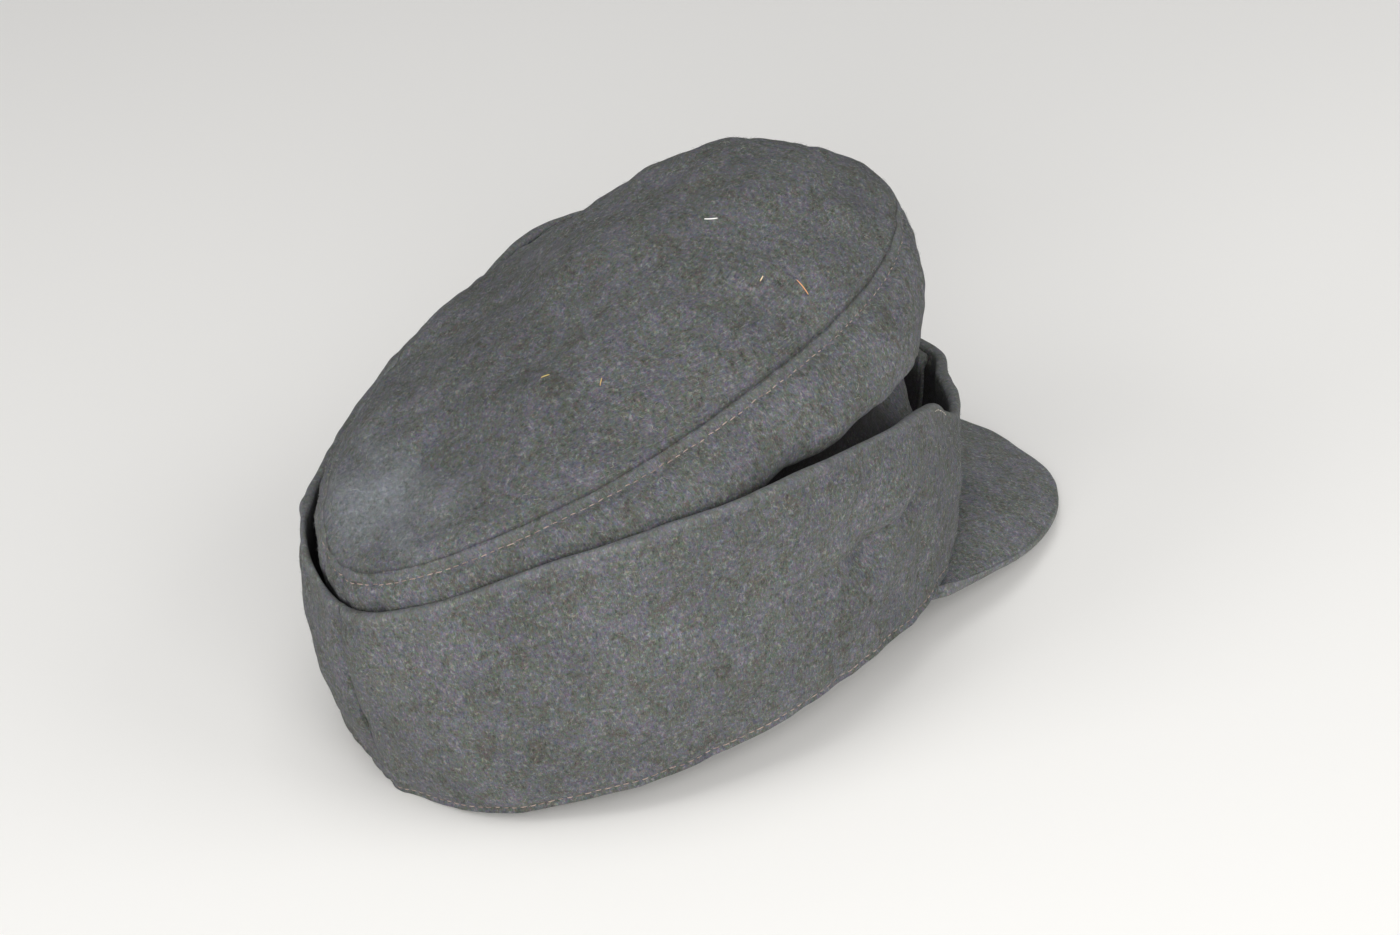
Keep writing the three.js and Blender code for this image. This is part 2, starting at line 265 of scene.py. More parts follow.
# Vectors scaled to length 1
def unit(vectors):
    return vectors / np.maximum(np.linalg.norm(vectors, axis=-1, keepdims=True), 1e-9)


# Unit normal of a surface on its outer side, from small steps up and round
def outwardNormal(surface, turn, level, facing):
    near = np.clip(level, 0.004, 0.996)
    up = surface(turn, near + 0.004) - surface(turn, near - 0.004)
    around = surface(turn + 0.02, near) - surface(turn - 0.02, near)
    return unit(np.cross(up, around)) * facing


# From mm as worn to metres at rest: pitched back, lifted and centred, flattened on the floor
def layDown(points, flatten=True):
    x, y, z = np.moveaxis(points, -1, 0)
    pitched = y * np.cos(restPitch) + z * np.sin(restPitch)
    lifted = z * np.cos(restPitch) - y * np.sin(restPitch) + restLift
    if flatten:
        lifted = np.maximum(lifted, 0)
    return np.stack([x + rest["shiftX"], pitched + rest["shiftY"], lifted], -1) * 0.001


# Distance in mm along one axis of a grid of points, starting from 0
def arcAlong(points, axis):
    steps = np.linalg.norm(np.diff(points, axis=axis), axis=-1)
    start = np.zeros_like(np.take(steps, [0], axis=axis))
    return np.concatenate([start, np.cumsum(steps, axis=axis)], axis=axis)


# Puts points and quads into a new mesh object, with faces outward by the signed volume
def addPiece(name, points, quads, material, uv=None, marks=None):
    flat = points.reshape(-1, 3)
    corner = flat[quads]
    volume = np.einsum("ij,ij->i", corner[:, 0], np.cross(corner[:, 1], corner[:, 2])
                       + np.cross(corner[:, 2], corner[:, 3])).sum()
    if volume < 0:
        quads = quads[:, ::-1]
    mesh = bpy.data.meshes.new(name)
    mesh.vertices.add(len(flat))
    mesh.vertices.foreach_set("co", flat.astype(np.float32).ravel())
    mesh.loops.add(quads.size)
    mesh.loops.foreach_set("vertex_index", quads.astype(np.int32).ravel())
    mesh.polygons.add(len(quads))
    mesh.polygons.foreach_set("loop_start", np.arange(0, quads.size, 4, dtype=np.int32))
    mesh.update(calc_edges=True)
    mesh.polygons.foreach_set("use_smooth", np.ones(len(quads), bool))
    if uv is not None:
        layer = mesh.uv_layers.new(name="clothMetres")
        layer.data.foreach_set("uv", uv.reshape(-1, 2)[quads.ravel()].astype(np.float32).ravel())
    for mark, values in (marks or {}).items():
        attribute = mesh.attributes.new(mark, "FLOAT", "POINT")
        attribute.data.foreach_set("value", values.astype(np.float32).ravel())
    mesh.materials.append(material)
    mesh.validate()
    piece = bpy.data.objects.new(name, mesh)
    bpy.context.scene.collection.objects.link(piece)
    return piece


# Quads of a grid of rows by columns, joined round either way when it closes on itself
def gridQuads(rows, columns, closeRows=False, closeColumns=False):
    index = np.arange(rows * columns).reshape(rows, columns)
    if closeRows:
        index = np.concatenate([index, index[:1]], 0)
    if closeColumns:
        index = np.concatenate([index, index[:, :1]], 1)
    return np.stack([index[:-1, :-1], index[:-1, 1:], index[1:, 1:], index[1:, :-1]], -1).reshape(-1, 4)


# Quads that close a ring of points: 0, 2k + 1, 2k + 2, 2k + 3
def poleQuads(ring):
    fan = np.arange((len(ring) - 2) // 2)
    return np.stack([ring[0 * fan], ring[2 * fan + 1], ring[2 * fan + 2], ring[2 * fan + 3]], -1)


# A closed strip of cloth. Its outside is surface plus relief along the normal, its inside lies
# one thickness in, and elliptical edges join them: middle + half * cos(a) ± edge * sin(a) * along
def clothStrip(name, shape, material):
    turns, shares = shape["turns"], shape["shares"]
    turn, share = np.meshgrid(turns, shares)
    span = shape["span"](turn)
    low, high = shape["lowEdge"] / span, (shape["highEdge"] - shape.get("reachOn", 0)) / span
    level = low + share * (1 - low - high)
    base = shape["surface"](turn, level)
    normal = outwardNormal(shape["surface"], turn, level, shape["facing"])
    up = arcAlong(base, 0)
    along = arcAlong(base, 1)
    place = {"turn": turn, "level": level, "point": base, "low": up + shape["lowEdge"],
             "high": up[-1:] - up + shape["highEdge"], "along": along,
             "ahead": along[:, -1:] - along}
    outer = base + normal * shape["relief"](place)[..., None]
    unevenInside = 0.25 * softWaves(base, 24, 71)
    inner = base - normal * (shape["thickness"] + unevenInside)[..., None]

    middle, half = (outer + inner) / 2, (outer - inner) / 2
    angle = np.radians([72, 48, 24])[:, None, None]
    lowTangent, highTangent = unit(middle[0] - middle[1])[None], unit(middle[-1] - middle[-2])[None]
    lowMiddle = middle[:1] + lowTangent * shape["lowEdge"] * np.sin(angle)
    highMiddle = middle[-1:] + highTangent * shape["highEdge"] * np.sin(angle[::-1])
    middle = np.concatenate([lowMiddle, middle, highMiddle])
    half = np.concatenate([half[:1] * np.cos(angle), half, half[-1:] * np.cos(angle[::-1])])

    ends = np.radians([24, 48, 72])[None, :, None]
    firstOut, lastOut = unit(middle[:, :1] - middle[:, 1:2]), unit(middle[:, -1:] - middle[:, -2:-1])
    endEdge = shape["endEdge"]
    firstMiddle = middle[:, :1] + firstOut * endEdge * np.sin(ends[:, ::-1])
    lastMiddle = middle[:, -1:] + lastOut * endEdge * np.sin(ends)
    firstHalf, lastHalf = half[:, :1] * np.cos(ends[:, ::-1]), half[:, -1:] * np.cos(ends)
    middle = np.concatenate([firstMiddle, middle, lastMiddle], 1)
    half = np.concatenate([firstHalf, half, lastHalf], 1)

    ring = np.concatenate([middle + half, (middle - half)[::-1]])
    rows, columns = ring.shape[:2]
    sides = gridQuads(rows, columns, closeRows=True)
    rung = np.arange(rows // 2 - 1)
    index = np.arange(rows * columns).reshape(rows, columns)
    first = np.stack([index[rung, 0], index[rung + 1, 0],
                      index[rows - 2 - rung, 0], index[rows - 1 - rung, 0]], -1)
    last = np.stack([index[rung, -1], index[rows - 1 - rung, -1],
                     index[rows - 2 - rung, -1], index[rung + 1, -1]], -1)
    across = arcAlong(ring, 0)[:, columns // 2]
    around = arcAlong(middle, 1)[middle.shape[0] // 2]
    uv = np.stack(np.meshgrid(around, across), -1) * 0.001
    edgeMark, paintedShadeMark = np.zeros((rows, columns)), np.zeros((rows, columns))
    rolled = len(angle)  # rows or columns in each rolled edge
    outside, inside = slice(rolled, rolled + len(shares)), slice(rows // 2 + rolled, rows - rolled)
    fromHigh = np.pad(place["high"], ((0, 0), (rolled, rolled)), mode="edge")
    edgeMark[outside] = bell(fromHigh, 0, 2.2)
    edgeMark[rolled + len(shares):rows // 2 + rolled] = 1
    # painted shade: on the outside where the shape's mark says, and on the inside growing from 1 to 9 mm
    # below the top edge
    paintedShadeMark[outside] = np.pad(shape["paintedShade"](place), ((0, 0), (rolled, rolled)), mode="edge")
    paintedShadeMark[inside] = smoothStep(fromHigh[::-1], 1, 9) * shape["paintedShadeInside"]
    piece = addPiece(name, layDown(ring), np.concatenate([sides, first, last]), material, uv,
                     {"edgeWear": edgeMark, "paintedShade": paintedShadeMark})
    return piece, {"outer": outer, "place": place}


# Even shares from 0 to 1 that crowd a little towards both ends
def crowdedShares(count, crowding=0.35):
    even = np.linspace(0, 1, count)
    return even - crowding * np.sin(2 * np.pi * even) / (2 * np.pi)


print("shapes ready")


# sRGB hex to a linear colour with alpha
def linearColour(code):
    channels = np.array([int(code[i:i + 2], 16) for i in (0, 2, 4)]) / 255
    linear = np.where(channels <= 0.04045, channels / 12.92, ((channels + 0.055) / 1.055)**2.4)
    return (*linear.tolist(), 1.0)


# Adds a node with its settings, its ramp stops and its inputs, each a value or another socket
def addNode(tree, kind, inputs=None, stops=None, **settings):
    node = tree.nodes.new(kind)
    for name, value in settings.items():
        setattr(node, name, value)
    if stops:
        ramp = node.color_ramp
        while len(ramp.elements) < len(stops):
            ramp.elements.new(0.5)
        for element, (position, colour) in zip(ramp.elements, stops):
            element.position = position
            element.color = linearColour(colour) if isinstance(colour, str) else (colour,) * 3 + (1.0,)
    for socket, value in (inputs or {}).items():
        if isinstance(value, bpy.types.NodeSocket):
            tree.links.new(value, node.inputs[socket])
        else:
            node.inputs[socket].default_value = value
    return node


# Empty node material and its tree
def newMaterial(name):
    material = bpy.data.materials.new(name)
    material.use_nodes = True
    tree = material.node_tree
    tree.nodes.clear()
    return material, tree


# Fulled heather wool: woollen cloth of mixed blue-grey, green, brown and violet fibres, milled
# until the weave is hidden. The eye sees a matt, slightly hairy, mottled grey with pale kemp. A
# real fibre is about 0.03 mm wide, and the pattern draws it some ten times as coarse so that it shows
wool = {
    "tones": ["2c2f33", "464b49", "5a5d5f", "5c5652", "666771", "8e8e87"],
    "mottleMm": 1.3, "fleckMm": 0.8, "hueMm": 5.5, "blotchMm": 24, "fibreMm": (0.3, 2.2), "nubMm": 0.55,
    # 1b1518, the near-black brown-violet, is painted shade and not a dye of the cloth
    "paleFibre": "93948c", "darkFibre": "2b2e33", "dust": "8b9096", "worn": "7f827f", "paintedShade": "1b1518",
    "roughness": 0.96, "sheen": 0.06, "bumpMm": 0.4, "hueMix": 0.52, "fleckMix": 0.55,
}


# Noise at a size in mm has scale 1000 / size, because coordinates are in metres. The second argument
# brightens or darkens the whole copy of the wool, as painted light for that piece
def woolCloth(name, paintedLightScale=1.0):
    material, tree = newMaterial(name)
    where = addNode(tree, "ShaderNodeTexCoord")
    point, flat = where.outputs["Object"], where.outputs["UV"]
    mottle = addNode(tree, "ShaderNodeTexNoise", {"Vector": point, "Scale": 1000 / wool["mottleMm"],
                     "Detail": 3.0, "Roughness": 0.62, "Distortion": 0.6})
    tones = wool["tones"]
    palette = addNode(tree, "ShaderNodeValToRGB", {"Fac": mottle.outputs["Fac"]},
                      stops=[(0.34 + 0.064 * i, tone) for i, tone in enumerate(tones)])
    colour = palette.outputs["Color"]
    # hue patches: a slower mixture pulls some places to green-brown, others to blue and violet
    hueNoise = addNode(tree, "ShaderNodeTexNoise", {"Vector": point, "Scale": 1000 / wool["hueMm"],
                       "Detail": 4.0, "Roughness": 0.68, "Distortion": 1.1})
    hue = addNode(tree, "ShaderNodeValToRGB", {"Fac": hueNoise.outputs["Fac"]},
                  stops=[(0.36, "49443c"), (0.45, "535a4e"), (0.51, "5c5f5e"), (0.57, "585765"),
                         (0.66, "716e73")])
    colour = addNode(tree, "ShaderNodeMix", {0: wool["hueMix"], 6: colour, 7: hue.outputs["Color"]},
                     data_type="RGBA").outputs[2]
    # flecks of many dyes: the noise's own colours, laid over
    flecks = addNode(tree, "ShaderNodeTexNoise", {"Vector": point, "Scale": 1000 / wool["fleckMm"],
                     "Detail": 2.0, "Roughness": 0.7})
    colour = addNode(tree, "ShaderNodeMix", {0: wool["fleckMix"], 6: colour, 7: flecks.outputs["Color"]},
                     data_type="RGBA", blend_type="OVERLAY").outputs[2]
    # fibres lie every way: the same stretched noise turned to five directions
    fibres = []
    for turned, seedShift in ((12, 0.0), (51, 3.1), (88, 5.7), (126, 8.3), (161, 11.9)):
        laid = addNode(tree, "ShaderNodeMapping", {"Vector": flat, "Rotation": (0, 0, np.radians(turned)),
                       "Location": (seedShift, seedShift * 0.7, 0),
                       "Scale": (1000 / wool["fibreMm"][0], 1000 / wool["fibreMm"][1], 1)})
        strand = addNode(tree, "ShaderNodeTexNoise", {"Vector": laid.outputs["Vector"], "Scale": 1.0,
                         "Detail": 1.0, "Roughness": 0.5, "Distortion": 0.35})
        fibres.append(strand.outputs["Fac"])
    brightest, darkest = fibres[0], fibres[0]
    for strand in fibres[1:]:
        brightest, darkest = (
            addNode(tree, "ShaderNodeMath", {0: so, 1: strand}, operation=kind).outputs[0]
            for so, kind in ((brightest, "MAXIMUM"), (darkest, "MINIMUM")))
    for fibre, low, high, most, tint in ((brightest, 0.66, 0.82, 0.5, "paleFibre"),
                                         (darkest, 0.35, 0.2, 0.6, "darkFibre")):
        part = addNode(tree, "ShaderNodeMapRange", {"Value": fibre, "From Min": low, "From Max": high,
                       "To Max": most})
        colour = addNode(tree, "ShaderNodeMix", {0: part.outputs[0], 6: colour,
                         7: linearColour(wool[tint])}, data_type="RGBA").outputs[2]
    # broad blotches from wear and damp, up to 14% either way, times the copy's overall brightness, which is
    # painted light
    blotch = addNode(tree, "ShaderNodeTexNoise", {"Vector": point, "Scale": 1000 / wool["blotchMm"],
                     "Detail": 3.0, "Roughness": 0.55})
    blotchAndPaintedLight = addNode(tree, "ShaderNodeMapRange", {"Value": blotch.outputs["Fac"], "From Min": 0.3,
                         "From Max": 0.7, "To Min": 0.86 * paintedLightScale, "To Max": 1.14 * paintedLightScale})
    colour = addNode(tree, "ShaderNodeVectorMath", {0: colour, "Scale": blotchAndPaintedLight.outputs[0]},
                     operation="SCALE").outputs[0]
    # dust lies where its mark says, broken up by the mottling, edges are worn pale where fibres show,
    # and painted shade darkens the cloth towards near-black where its mark says: in the fold, behind the
    # flap, along the top seam and on inner faces
    for mark, spread, most, tint in (("dust", mottle.outputs["Fac"], 1.0, "dust"),
                                     ("edgeWear", brightest, 0.3, "worn"), ("paintedShade", 1.0, 0.95, "paintedShade")):
        marked = addNode(tree, "ShaderNodeAttribute", attribute_name=mark)
        broken = addNode(tree, "ShaderNodeMath", {0: marked.outputs["Fac"], 1: spread}, operation="MULTIPLY")
        part = addNode(tree, "ShaderNodeMath", {0: broken.outputs[0], 1: most}, operation="MULTIPLY")
        colour = addNode(tree, "ShaderNodeMix", {0: part.outputs[0], 6: colour,
                         7: linearColour(wool[tint])}, data_type="RGBA").outputs[2]
    # relief of the nap: fine nubs and the fibres that lie on top
    nub = addNode(tree, "ShaderNodeTexNoise", {"Vector": point, "Scale": 1000 / wool["nubMm"],
                  "Detail": 2.0, "Roughness": 0.6})
    nap = addNode(tree, "ShaderNodeMath", {0: nub.outputs["Fac"], 1: brightest}, operation="ADD")
    felt = addNode(tree, "ShaderNodeMath", {0: nap.outputs[0], 1: mottle.outputs["Fac"]}, operation="ADD")
    bump = addNode(tree, "ShaderNodeBump", {"Height": felt.outputs[0], "Strength": 0.75,
                   "Distance": wool["bumpMm"] * 0.001})
    shader = addNode(tree, "ShaderNodeBsdfPrincipled", {"Base Color": colour, "Roughness": wool["roughness"],
                     "Specular IOR Level": 0.12, "Sheen Weight": wool["sheen"], "Sheen Roughness": 0.45,
                     "Normal": bump.outputs["Normal"]})
    addNode(tree, "ShaderNodeOutputMaterial", {"Surface": shader.outputs[0]})
    return material


# Lit and shaded copies of one wool: each piece's brightness factor is painted light, the peak brightest at
# 1.36
woolTop = woolCloth("fulledWoolTop", 0.96)
woolWall = woolCloth("fulledWoolWall", 1.05)
woolFlap = woolCloth("fulledWoolFlap", 1.03)
woolPeak = woolCloth("fulledWoolPeak", 1.36)
print("wool ready")

# Top panel, on a square grid drawn out to a disc so that its cells stay even all over
topPanel = {
    "cellsAcross": 116, "cellsAlong": 196, "seamEdge": 0.7, "reachOn": 0.5,
    "dents": [(0.70, -2, 9, -1.1), (0.68, -35, 8, -1.0), (0.72, -127, 9, -0.8), (0.45, 60, 14, -1.2)],
    "dustAt": (0.83, 8), "dustMm": (24, 15), "dustShare": 0.75, "radius": 84,
}


# Relief of the top panel: broad and fine waves, a puff beside the seam, puckers that fade from
# it, and the dents, each a bell round its place
def topRelief(base, fromSeam):
    uneven = 0.75 * softWaves(base, 46, 3) + 0.36 * softWaves(base, 19, 4) + 0.14 * softWaves(base, 8, 5)
    uneven += 0.2 * softWaves(base * [1, 0.4, 1], 11, 9)
    puff = 0.45 * bell(fromSeam, 4.5, 3.5) - 0.35 * bell(fromSeam, 0, 1.2)
    pucker = 0.28 * softWaves(base * [1, 1, 0.2], 9, 6) * np.exp(-fromSeam / 6)
    total = uneven * smoothStep(fromSeam, 0, 9) + puff + pucker
    for dentQ, dentTurn, width, rise in topPanel["dents"]:
        centre = domeSurface(np.array(float(dentTurn)), np.array(1.0 - dentQ))
        away = np.linalg.norm((base - centre) * [1, 0.7, 1], axis=-1)
        total += rise * np.exp(-(away / width)**2)
    return total


# Square to disc: x = u * sqrt(1 - v²/2), y = v * sqrt(1 - u²/2), then q and turn by polar angle
def crownTop(name):
    across, along = topPanel["cellsAcross"], topPanel["cellsAlong"]
    u, v = np.meshgrid(np.linspace(-1, 1, across), np.linspace(-1, 1, along))
    discX, discY = u * np.sqrt(1 - v**2 / 2), v * np.sqrt(1 - u**2 / 2)
    edge = topPanel["seamEdge"]
    q = np.hypot(discX, discY) * (1 - (edge - topPanel["reachOn"]) / topPanel["radius"])
    turn = np.degrees(np.arctan2(discX, discY))
    base = domeSurface(turn, 1 - q)
    normal = outwardNormal(domeSurface, turn, 1 - q, 1)
    seam = domeSurface(turn, np.zeros_like(q))
    fromSeam = np.linalg.norm(base - seam, axis=-1)
    outer = base + normal * topRelief(base, fromSeam)[..., None]
    inner = base - normal * (cloth["crown"] + 0.25 * softWaves(base, 24, 72))[..., None]

    index = np.arange(across * along).reshape(along, across)
    loop = np.concatenate([index[0, :-1], index[:-1, -1], index[-1, :0:-1], index[:0:-1, 0]])
    flatOuter, flatInner = outer.reshape(-1, 3), inner.reshape(-1, 3)
    middle, half = (flatOuter + flatInner)[loop] / 2, (flatOuter - flatInner)[loop] / 2
    outward = unit(seam.reshape(-1, 3)[loop] - base.reshape(-1, 3)[loop])
    angle = np.radians([24, 48, 72, 108, 132, 156])[:, None, None]
    roll = middle + half * np.cos(angle) + outward * edge * np.sin(angle)
    points = np.concatenate([flatOuter, flatInner, roll.reshape(-1, 3)])
    count, loops = across * along, len(loop)
    rings = [loop, *(2 * count + step * loops + np.arange(loops) for step in range(len(angle))), count + loop]
    strips = [np.stack([np.roll(a, -1), a, b, np.roll(b, -1)], -1) for a, b in zip(rings, rings[1:])]
    face = gridQuads(along, across)
    quads = np.concatenate([face, face[:, ::-1] + count, *strips])

    # flat map of the panel: the distance from the middle along the cloth, in the disc's direction
    steps = np.linspace(0, 1, 25)[:, None, None]
    fromMiddle = arcAlong(domeSurface(turn[None], 1 - q[None] * steps), 0)[-1]
    flat = fromMiddle[..., None] * np.stack([np.sin(np.radians(turn)), np.cos(np.radians(turn))], -1)
    flat = flat.reshape(-1, 2) * 0.001
    uv = np.concatenate([flat, flat + 0.5, np.tile(flat[loop], (len(angle), 1))])
    dustQ, dustTurn = topPanel["dustAt"]
    centre = domeSurface(np.array(float(dustTurn)), np.array(1 - dustQ))
    away = np.hypot((base[..., 0] - centre[0]) / topPanel["dustMm"][0],
                    (base[..., 1] - centre[1]) / topPanel["dustMm"][1])
    dust = np.exp(-(away + 0.18 * softWaves(base, 14, 8))**2)
    others = np.zeros(len(points) - count)
    # painted shade: a dark line along the seam, 0.6 * exp(-(from seam / 0.9 mm)²)
    piece = addPiece(name, layDown(points), quads, woolTop, uv,
                     {"dust": np.concatenate([dust.ravel() * topPanel["dustShare"], others]),
                      "paintedShade": np.concatenate([0.6 * bell(fromSeam, 0, 0.9).ravel(), others])})
    return piece, {"outer": outer}


topPiece, topGrid = crownTop("crown_top_cloth")
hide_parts("crown_top")
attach(topPiece, "root")
print("top panel ready")

# Wall of the crown, in two halves
wall = {"columns": 250, "rows": 100, "seamEdge": 0.7, "reachOn": 0.5, "stitchDown": 3.7, "swell": 3.4}
wallCreases = {
    "fromTurn": [12, 150], "fromLevel": [0.78, 0.78], "toTurn": [13, 138], "toLevel": [0.97, 0.9],
    "width": [2.6, 6], "rise": [-1.1, -0.8],
}


# Relief of the wall: waves, a puff between the seam and the stitch row, a channel under the
# stitches, puckers near the seam, pinched centre seams, and the small creases
def wallRelief(side, column):
    def relief(place):
        point, fromSeam = place["point"], place["high"]
        uneven = 0.5 * softWaves(point, 40, 21 + side) + 0.25 * softWaves(point, 17, 23 + side)
        uneven += 0.12 * softWaves(point, 7.5, 25 + side)
        seam = 0.35 * bell(fromSeam, 2.0, 1.2) - 0.5 * bell(fromSeam, wall["stitchDown"], 0.9)
        seam += 0.45 * bell(fromSeam, 7.5, 3.2) - 0.3 * bell(fromSeam, 0, 0.9)
        pucker = 0.25 * softWaves(point * [1, 1, 0.2], 8, 27 + side) * np.exp(-fromSeam / 8)
        ends = np.minimum(place["along"], place["ahead"])
        pinch = -0.5 * bell(ends, 0, 1.6) + 0.35 * bell(ends, 5, 3)
        rim, top, edge = (heightAt(line, place["turn"]) for line in ("rim", column, "flapRight"))
        creases = foldRise(wallCreases, place["turn"], place["level"], top - rim)
        # along the right side the wall swells out to the flap's edge, so only a thin gap shows there
        overEdge = (top - rim) * place["level"] - (edge - rim)
        swell = wall["swell"] * bell(overEdge, -1, 7) * bell(place["turn"], 68, 26) * (side < 0)
        swell *= smoothStep(fromSeam, 0.5, 7)
        return uneven * smoothStep(fromSeam, 0, 9) + seam + pucker + pinch + creases + swell
    return relief


# Painted shade on the wall: 0.6 * s(below the flap's edge / 8) where it lies hidden behind the flap, and
# under the tuck's fold 0.95 * exp(-(below the fold / 32)²). In the tuck it fades in from turn 74 and out
# towards the front
def wallPaintedShade(place, side, column):
    rim = heightAt("rim", place["turn"])
    height = heightAt(column, place["turn"]) - rim
    edge = heightAt("flapRight" if side < 0 else "flapLeft", place["turn"]) - rim
    hidden = 0.6 * smoothStep(edge - place["level"] * height, 0, 8)
    if side > 0:
        return hidden
    below = (readColumn(wallTuck, "turn", "level", place["turn"]) - place["level"]) * height
    tucked = smoothStep(below, 0.5, 4) * smoothStep(place["turn"], 74, 90)
    tucked *= smoothStep(-place["turn"], -164, -138)
    return np.maximum(hidden, 0.95 * tucked * bell(below, 0, 32))


# Half of the wall: a strip from the centre back to the centre front, sewn along both edges
def crownSide(name, node, side, folds, tuck=None):
    column = "seamRight" if side < 0 else "seamLeft"
    shape = {
        "surface": uprightSurface(wallPlan, side, column, folds, 0.0, tuck), "facing": side,
        "turns": np.linspace(0, 180, wall["columns"]), "shares": crowdedShares(wall["rows"]),
        "span": lambda turn: heightAt(column, turn) - heightAt("rim", turn),
        "lowEdge": 1.1, "highEdge": wall["seamEdge"], "endEdge": 0.15, "reachOn": wall["reachOn"],
        "thickness": cloth["crown"], "relief": wallRelief(side, column),
        # painted shade on the wall's outside, and up to 0.6 painted shade on its inside below the top edge
        "paintedShade": lambda place: wallPaintedShade(place, side, column), "paintedShadeInside": 0.6,
    }
    piece, grid = clothStrip(name, shape, woolWall)
    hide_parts(node)
    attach(piece, "root")
    return grid


wallRight = crownSide("crown_side_right_cloth", "crown_side_right", -1, wallFoldsRight, wallTuck)
wallLeft = crownSide("crown_side_left_cloth", "crown_side_left", 1, wallFoldsLeft)
print("wall ready")

# Turned-up flap, double cloth with a rolled top edge, in two halves
flap = {"columns": 270, "rows": 76, "topEdge": 1.6, "lowEdge": 1.3, "stitchUp": 2.6, "lapLift": 1.2}
flapCreases = {
    "fromTurn": [119, 134, 60], "fromLevel": [0.2, 0.1, 0.35],
    "toTurn": [120.5, 133, 48], "toLevel": [0.66, 0.62, 0.5],
    "width": [2.2, 2.2, 9], "rise": [-0.55, -0.4, -0.9],
}


# Relief of the flap: waves, the creases, a stitched channel above the lower edge with a puff on
# each side, a slack top edge that wavers, and a pinched centre-back seam
def flapRelief(side, column):
    def relief(place):
        point, low, high = place["point"], place["low"], place["high"]
        uneven = 0.6 * softWaves(point, 42, 31 + side) + 0.28 * softWaves(point, 18, 33 + side)
        uneven += 0.13 * softWaves(point, 7.5, 35 + side)
        edge = -0.55 * bell(low, flap["stitchUp"], 0.9) + 0.3 * bell(low, 0.9, 0.9) + 0.4 * bell(low, 6.5, 3)
        slack = 0.45 * softWaves(point * [1, 1, 0.3], 34, 37 + side) * np.exp(-high / 14)
        hem = -0.3 * bell(high, 5.5, 1.6) + 0.25 * bell(high, 2.2, 1.8)
        pinch = -0.7 * bell(place["along"], 0, 1.5) + 0.5 * bell(place["along"], 6, 3.6)
        height = heightAt(column, place["turn"]) - heightAt("rim", place["turn"])
        creases = foldRise(flapCreases, place["turn"], place["level"], height)
        return uneven + edge + slack + hem + pinch + creases
    return relief


# Half of the flap: a strip from the centre back to just past the centre front, where the right
# half rises over the left by lapLift thicknesses
def flapHalf(name, node, side, folds, tuck=None):
    column = "flapRight" if side < 0 else "flapLeft"
    lift = flap["lapLift"] * (cloth["flap"] + cloth["seamGap"]) if side < 0 else 0.0
    shape = {
        "surface": uprightSurface(flapPlan, side, column, folds, lift, tuck), "facing": side,
        "turns": np.linspace(0, 180 + lap["turns"], flap["columns"]),
        "shares": crowdedShares(flap["rows"]),
        "span": lambda turn: heightAt(column, turn) - heightAt("rim", turn),
        "lowEdge": flap["lowEdge"], "highEdge": flap["topEdge"], "endEdge": 0.15,
        "thickness": cloth["flap"], "relief": flapRelief(side, column),
        # no painted shade on the flap's outside; its inside is darkened up to 0.8 below the top edge as
        # painted shade
        "paintedShade": lambda place: np.zeros_like(place["level"]), "paintedShadeInside": 0.8,
    }
    piece, grid = clothStrip(name, shape, woolFlap)
    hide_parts(node)
    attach(piece, "root")
    return grid


flapRightGrid = flapHalf("flap_right_cloth", "flap_right", -1, flapFoldsRight, flapTuck)
flapLeftGrid = flapHalf("flap_left_cloth", "flap_left", 1, flapFoldsLeft)
print("flap ready")

# Short stiff peak covered in cloth
peakLook = {"columns": 230, "rows": 54, "tipEdge": 1.8, "seamIn": 2.6}


# Relief of the peak: slight waves, a shallow line inside the turned edge, and a fuller middle
def peakRelief(place):
    point, high = place["point"], place["high"]
    uneven = 0.2 * softWaves(point, 36, 41) + 0.1 * softWaves(point, 14, 42) + 0.06 * softWaves(point, 7, 43)
    edge = -0.3 * bell(high, peakLook["seamIn"], 1.0) + 0.25 * bell(high, 1.0, 0.9)
    return uneven + edge


# Straight distance from the peak's root to its outline
def peakSpan(turn):
    reach = peakSurface(turn, np.ones_like(turn)) - peakSurface(turn, np.zeros_like(turn))
    return np.linalg.norm(reach, axis=-1)


peakShape = {
    "surface": peakSurface, "facing": -1, "thickness": cloth["peak"], "relief": peakRelief,
    "turns": np.linspace(peak["cornerTurn"], 360 - peak["cornerTurn"], peakLook["columns"]),
    "shares": crowdedShares(peakLook["rows"]), "span": peakSpan,
    "lowEdge": 0.6, "highEdge": peakLook["tipEdge"], "endEdge": 0.3,
    "paintedShade": lambda place: np.zeros_like(place["level"]), "paintedShadeInside": 0.0,
}
peakPiece, peakGrid = clothStrip("peak_cloth", peakShape, woolPeak)
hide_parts("peak")
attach(peakPiece, "root")
print("peak ready")

# Two domed buttons on the front lap, pressed metal under grey paint
button = {"radius": 6.5, "rim": 1.4, "height": 3.4, "clearance": 0.6, "levels": [0.72, 0.27]}


